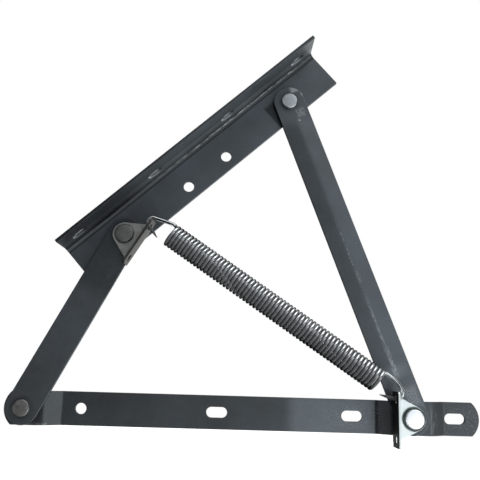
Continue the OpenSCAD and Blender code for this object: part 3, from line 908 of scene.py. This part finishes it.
def spring():
    """One wire: a hook, the close-wound coil and the other hook. It stretches between its two bodies."""
    sides = 12
    lead_a = math.degrees(math.asin(lead_r / coil_r))
    lower = hook_stations(-1, coil_pitch * lead_a / 360)
    upper = hook_stations(1, coil_l - coil_pitch * lead_a / 360)
    stations = lower[::-1] + coil_stations(lead_a) + upper
    last = len(stations) - 1
    # The tips are cropped to a point: the share of the wire's radius at each station from the tip
    taper = {0: 0.12, 1: 0.34, 2: 0.52, 3: 0.68, 4: 0.82, 5: 0.93}
    bm = bmesh.new()
    rings = []
    # How much painted shade each vertex of the wire gets
    painted_shade = []
    for i, (place, spoke) in enumerate(stations):
        forward = (stations[min(i + 1, last)][0] - stations[max(i - 1, 0)][0]).normalized()
        side = forward.cross(spoke).normalized()
        from_tip = min(i, last - i)
        radius = wire_d / 2 * taper.get(from_tip, 1)
        on_coil = len(lower) <= i <= last - len(upper)
        ring = []
        for k in range(sides):
            a = math.tau * k / sides
            at = place + radius * (math.cos(a) * spoke + math.sin(a) * side)
            ring.append(bm.verts.new(at))
            painted_shade.append(painted_shade_on(at, a, from_tip, on_coil))
        rings.append(ring)
    for a, b in zip(rings, rings[1:]):
        for k in range(sides):
            j = (k + 1) % sides
            bm.faces.new((a[k], a[j], b[j], b[k]))
    bm.faces.new(rings[0][::-1])
    bm.faces.new(rings[-1])
    along = spring_line.normalized()
    across = Vector((along.y, -along.x))
    start = lower_grip + along * hook_reach
    seated = Matrix(((along.x, across.x, 0, start.x), (0, 0, -1, -spring_at),
                     (along.y, across.y, 0, start.y), (0, 0, 0, 1)))
    bm.transform(Matrix.Scale(MM, 4) @ seated)
    bmesh.ops.recalc_face_normals(bm, faces=bm.faces)
    mesh = bpy.data.meshes.new("close_wound_spring")
    bm.to_mesh(mesh)
    bm.free()
    # The painted shade on the wire, kept for the material to read
    mesh.attributes.new("painted_shade", "FLOAT", "POINT").data.foreach_set("value", painted_shade)
    mesh.polygons.foreach_set("use_smooth", [True] * len(mesh.polygons))
    mesh.set_sharp_from_angle(angle=math.radians(50))
    mesh.materials.append(drawn_spring_wire("plated_spring_wire", (start, heading(along))))
    piece = bpy.data.objects.new("close_wound_spring", mesh)
    bpy.context.scene.collection.objects.link(piece)
    finish = start + along * coil_l
    ends = [(p.x * MM, -spring_at * MM, p.y * MM) for p in (start, finish)]
    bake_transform(piece, "spring", "spring_hook", start=ends[0], end=ends[1])
    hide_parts("spring_coil", "spring_top_hook")
    # All turns open alike, so a turn's share of the stretch is its place along the coil
    shares = piece.data.attributes["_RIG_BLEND"]
    axis = Vector((along.x, 0, along.y))
    foot = Vector(ends[0])
    for v, value in zip(piece.data.vertices, shares.data):
        value.value = min(max((v.co - foot).dot(axis) / (coil_l * MM), 0), 1)


# The stage

def camera():
    """The camera that took the photograph, fitted to its pivots and edges. The picture is 480 pixels wide."""
    picture = 480
    focal_px = 640.968
    pitch, yaw, roll = (math.radians(a) for a in (11.058, 0.728, 1.678))
    place = Vector((132.547, -606.711, 42.701)) * MM
    forward = Vector((math.sin(yaw) * math.cos(pitch), math.cos(yaw) * math.cos(pitch), math.sin(pitch)))
    level = Vector((math.cos(yaw), -math.sin(yaw), 0))
    upward = level.cross(forward)
    right = level * math.cos(roll) + upward * math.sin(roll)
    up = -level * math.sin(roll) + upward * math.cos(roll)
    data = bpy.data.cameras.new("camera")
    data.sensor_width = 36
    data.lens = focal_px / picture * data.sensor_width
    data.clip_start = 0.01
    made = bpy.data.objects.new("camera", data)
    made.matrix_world = Matrix((right, up, -forward)).transposed().to_4x4()
    made.matrix_world.translation = place
    bpy.context.scene.collection.objects.link(made)
    bpy.context.scene.camera = made


def softbox(name, place, target, size, power):
    """A square soft lamp that faces a point of the stay."""
    data = bpy.data.lights.new(name, "AREA")
    data.size = size
    data.energy = power
    made = bpy.data.objects.new(name, data)
    made.location = place
    made.rotation_euler = (Vector(target) - Vector(place)).to_track_quat("-Z", "Y").to_euler()
    bpy.context.scene.collection.objects.link(made)


def seen_directly(tree, behind):
    """The mask that is 1 for rays of the camera, of mirrors and of glass, and 0 for light that scatters.
    Mirrors and glass see the backdrop only so far as behind is 1."""
    path = add(tree, "ShaderNodeLightPath")
    mirrored = maths(tree, "MAXIMUM", path.outputs["Is Glossy Ray"], path.outputs["Is Transmission Ray"])
    shown = maths(tree, "MULTIPLY", mirrored, behind)
    return maths(tree, "MAXIMUM", path.outputs["Is Camera Ray"], shown)


def studio_surround():
    """The room: a white backdrop behind the stay, which falls into shade on the left where only mirrors see
    it, and in front of it a dark studio with white panels on the right. Each panel is a soft round light,
    with its bearing and height in degrees as seen from the stay, how wide it spreads, its strength and its
    colour."""
    neutral = (1, 1, 1)
    daylight = (0.93, 1, 1.12)
    panels = [
        ("table sheet, low on the right", 60, -30, 38, 2.0, neutral),
        ("table sheet, in front", 30, -30, 38, 1.4, neutral),
        ("window, level", 18, -6, 22, 1.15, daylight),
        ("window, upper part", 18, 22, 22, 0.75, daylight),
        ("softbox, high on the right", 84, 56, 24, 1.8, neutral),
        ("its diffuser", 60, 60, 38, 1.35, neutral),
        ("ceiling", 0, 60, 38, 0.95, neutral),
        ("left wall", -60, 0, 38, 0.3, neutral),
    ]
    world = bpy.data.worlds.new("studio_surround")
    bpy.context.scene.world = world
    world.use_nodes = True
    tree = world.node_tree
    way = add(tree, "ShaderNodeTexCoord").outputs["Generated"]
    light = linear("#1c1c1c")[:3]
    for name, bearing, height, spread, strength, colour in panels:
        level = math.cos(math.radians(height))
        centre = (math.sin(math.radians(bearing)) * level, -math.cos(math.radians(bearing)) * level,
                  math.sin(math.radians(height)))
        near = add(tree, "ShaderNodeVectorMath", {0: way, 1: centre}, operation="DOT_PRODUCT", label=name)
        lit = remap(tree, near, math.cos(math.radians(spread)), 1, 0, strength, smooth=True)
        light = vector_maths(tree, "ADD", light, scaled(tree, colour, lit))
    split = add(tree, "ShaderNodeSeparateXYZ", {0: way})
    past_stay = remap(tree, split.outputs["Y"], -0.05, 0.5, smooth=True)
    from_shade = remap(tree, split.outputs["X"], -0.12, 0.45, smooth=True)
    behind = maths(tree, "MULTIPLY", past_stay, from_shade)
    studio = tree.nodes["Background"]
    feed(tree, light, studio.inputs["Color"])
    backdrop = add(tree, "ShaderNodeBackground", {"Color": (1, 1, 1, 1), "Strength": 1})
    mixed = add(tree, "ShaderNodeMixShader", {
        0: seen_directly(tree, behind), 1: studio, 2: backdrop})
    feed(tree, mixed, tree.nodes["World Output"].inputs["Surface"])


def white_floor():
    """A plain pale floor below the stay, which keeps the stay's soft shadow."""
    bm = bmesh.new()
    bmesh.ops.create_circle(bm, cap_ends=True, segments=96, radius=1.4)
    mesh = bpy.data.meshes.new("floor")
    bm.to_mesh(mesh)
    bm.free()
    floor = bpy.data.objects.new("floor", mesh)
    floor.location = (0.15, 1.3, -0.25)
    bpy.context.scene.collection.objects.link(floor)
    material, tree, shader = start_material("matt_white_floor")
    shader.inputs["Base Color"].default_value = linear("#f0f0f0")
    shader.inputs["Roughness"].default_value = 0.9
    shader.inputs["Specular IOR Level"].default_value = 0
    glow = add(tree, "ShaderNodeEmission", {"Color": (1, 1, 1, 1), "Strength": 0.85})
    lit = add(tree, "ShaderNodeAddShader", {0: shader, 1: glow})
    place = add(tree, "ShaderNodeNewGeometry").outputs["Position"]
    aside = add(tree, "ShaderNodeSeparateXYZ", {0: place}).outputs["X"]
    mirrored = remap(tree, aside, 0, 0.8, smooth=True)
    mixed = add(tree, "ShaderNodeMixShader", {
        0: seen_directly(tree, mirrored), 1: shader, 2: lit})
    feed(tree, mixed, tree.nodes["Material Output"].inputs["Surface"])
    mesh.materials.append(material)


camera()
studio_surround()
white_floor()
softbox("key_right", place=(1.25, -0.75, 1.15), target=(0.15, 0, 0.12), size=0.5, power=2)

base_bar()
short_arm()
long_arm()
lid_angle()

upper_seat = (lid_short, upper_plate_at)
lower_seat = (base_long, lower_plate_at)
# Painted shade on the upper plate's tab; on the lower plate on its tab's back, in the bend and on the tab's
# front edge
upper_plate_painted_shade = [((tab_x - 1, 0, tab_top - 7), (2.2, 60, 13), 0.82)]
lower_plate_painted_shade = [((tab_x + 1, 0, tab_top - 12), (2.2, 60, 40), 0.96),
               ((tab_x - 3.6, 0, plate_front + 0.6), (1.9, 60, 2.8), 0.4),
               ((tab_x - 1.2, 0, tab_top), (2.4, 60, 0.9), 0.12)]
dull_zinc = zinc_plate(
    "dull_zinc", upper_seat, "#b0b0aa", "#c5c5be", 0.36, 0.52, upper_plate_painted_shade, plate_head_d / 2)
bright_zinc = zinc_plate(
    "bright_zinc", lower_seat, "#d9e1de", "#e5ebe8", 0.34, 0.5, lower_plate_painted_shade, head_washer_d / 2)
spring_plate("dull_upper_plate", "upper_spring_plate", "upper_plate", upper_seat, dull_zinc, "dull_zinc")
spring_plate("bright_lower_plate", "lower_spring_plate", "lower_plate", lower_seat, bright_zinc,
             "bright_zinc")

rivet("painted_base_rivet", "base_short_rivet", "base", base_short, joggle_h, arm_front + play, plain_head_d,
      headed_rivet_steel("painted_rivet", (base_short, 0), "#7b7b78", "#8e8e8a", 0.5), "dull_rivet")
rivet("bright_base_rivet", "base_long_rivet", "base", base_long, joggle_h, head_washer_front, plate_head_d,
      headed_rivet_steel("bright_rivet", (base_long, 0), "#eef0f2", "#fafbfd", 0.34), "bright_zinc")
rivet("dull_lid_rivet", "lid_short_rivet", "lid", lid_short, joggle_h, plate_front + play, plate_head_d,
      headed_rivet_steel("dull_rivet", (lid_short, 0), "#7c7d79", "#8b8c88", 0.46), "dull_zinc")
pale_steel = headed_rivet_steel("pale_rivet", (lid_long, 0), "#aeb4b5", "#bdc2c3", 0.42)
half_rivet("lid_rivet_head", "lid_long_rivet", "long_arm", lid_long, washer_back, arm_front + play,
           arm_front + play + head_h, plain_head_d, pale_steel, "pale_rivet")
half_rivet("lid_rivet_tail", "lid_long_rivet_tail", "lid", lid_long, raised_front, joggle_h,
           joggle_h - tail_h, tail_d, pale_steel, "pale_rivet")

for name, node, body, pivot in (
        ("base_short_spacer", "base_short_washer", "base", base_short),
        ("base_long_spacer", "base_long_washer", "base", base_long),
        ("lid_short_spacer", "lid_short_washer", "lid", lid_short),
        ("lid_long_spacer", "lid_long_washer", "long_arm", lid_long)):
    washer(name, node, body, pivot, washer_back, washer_d,
           headed_rivet_steel(name + "_steel", (pivot, 0), "#4a4e50", "#5a5e60", 0.5))
washer("head_spacer", "head_washer", "base", base_long, head_washer_back, head_washer_d,
       headed_rivet_steel("head_spacer_steel", (base_long, 0), "#434d4c", "#58625f", 0.45))

spring()
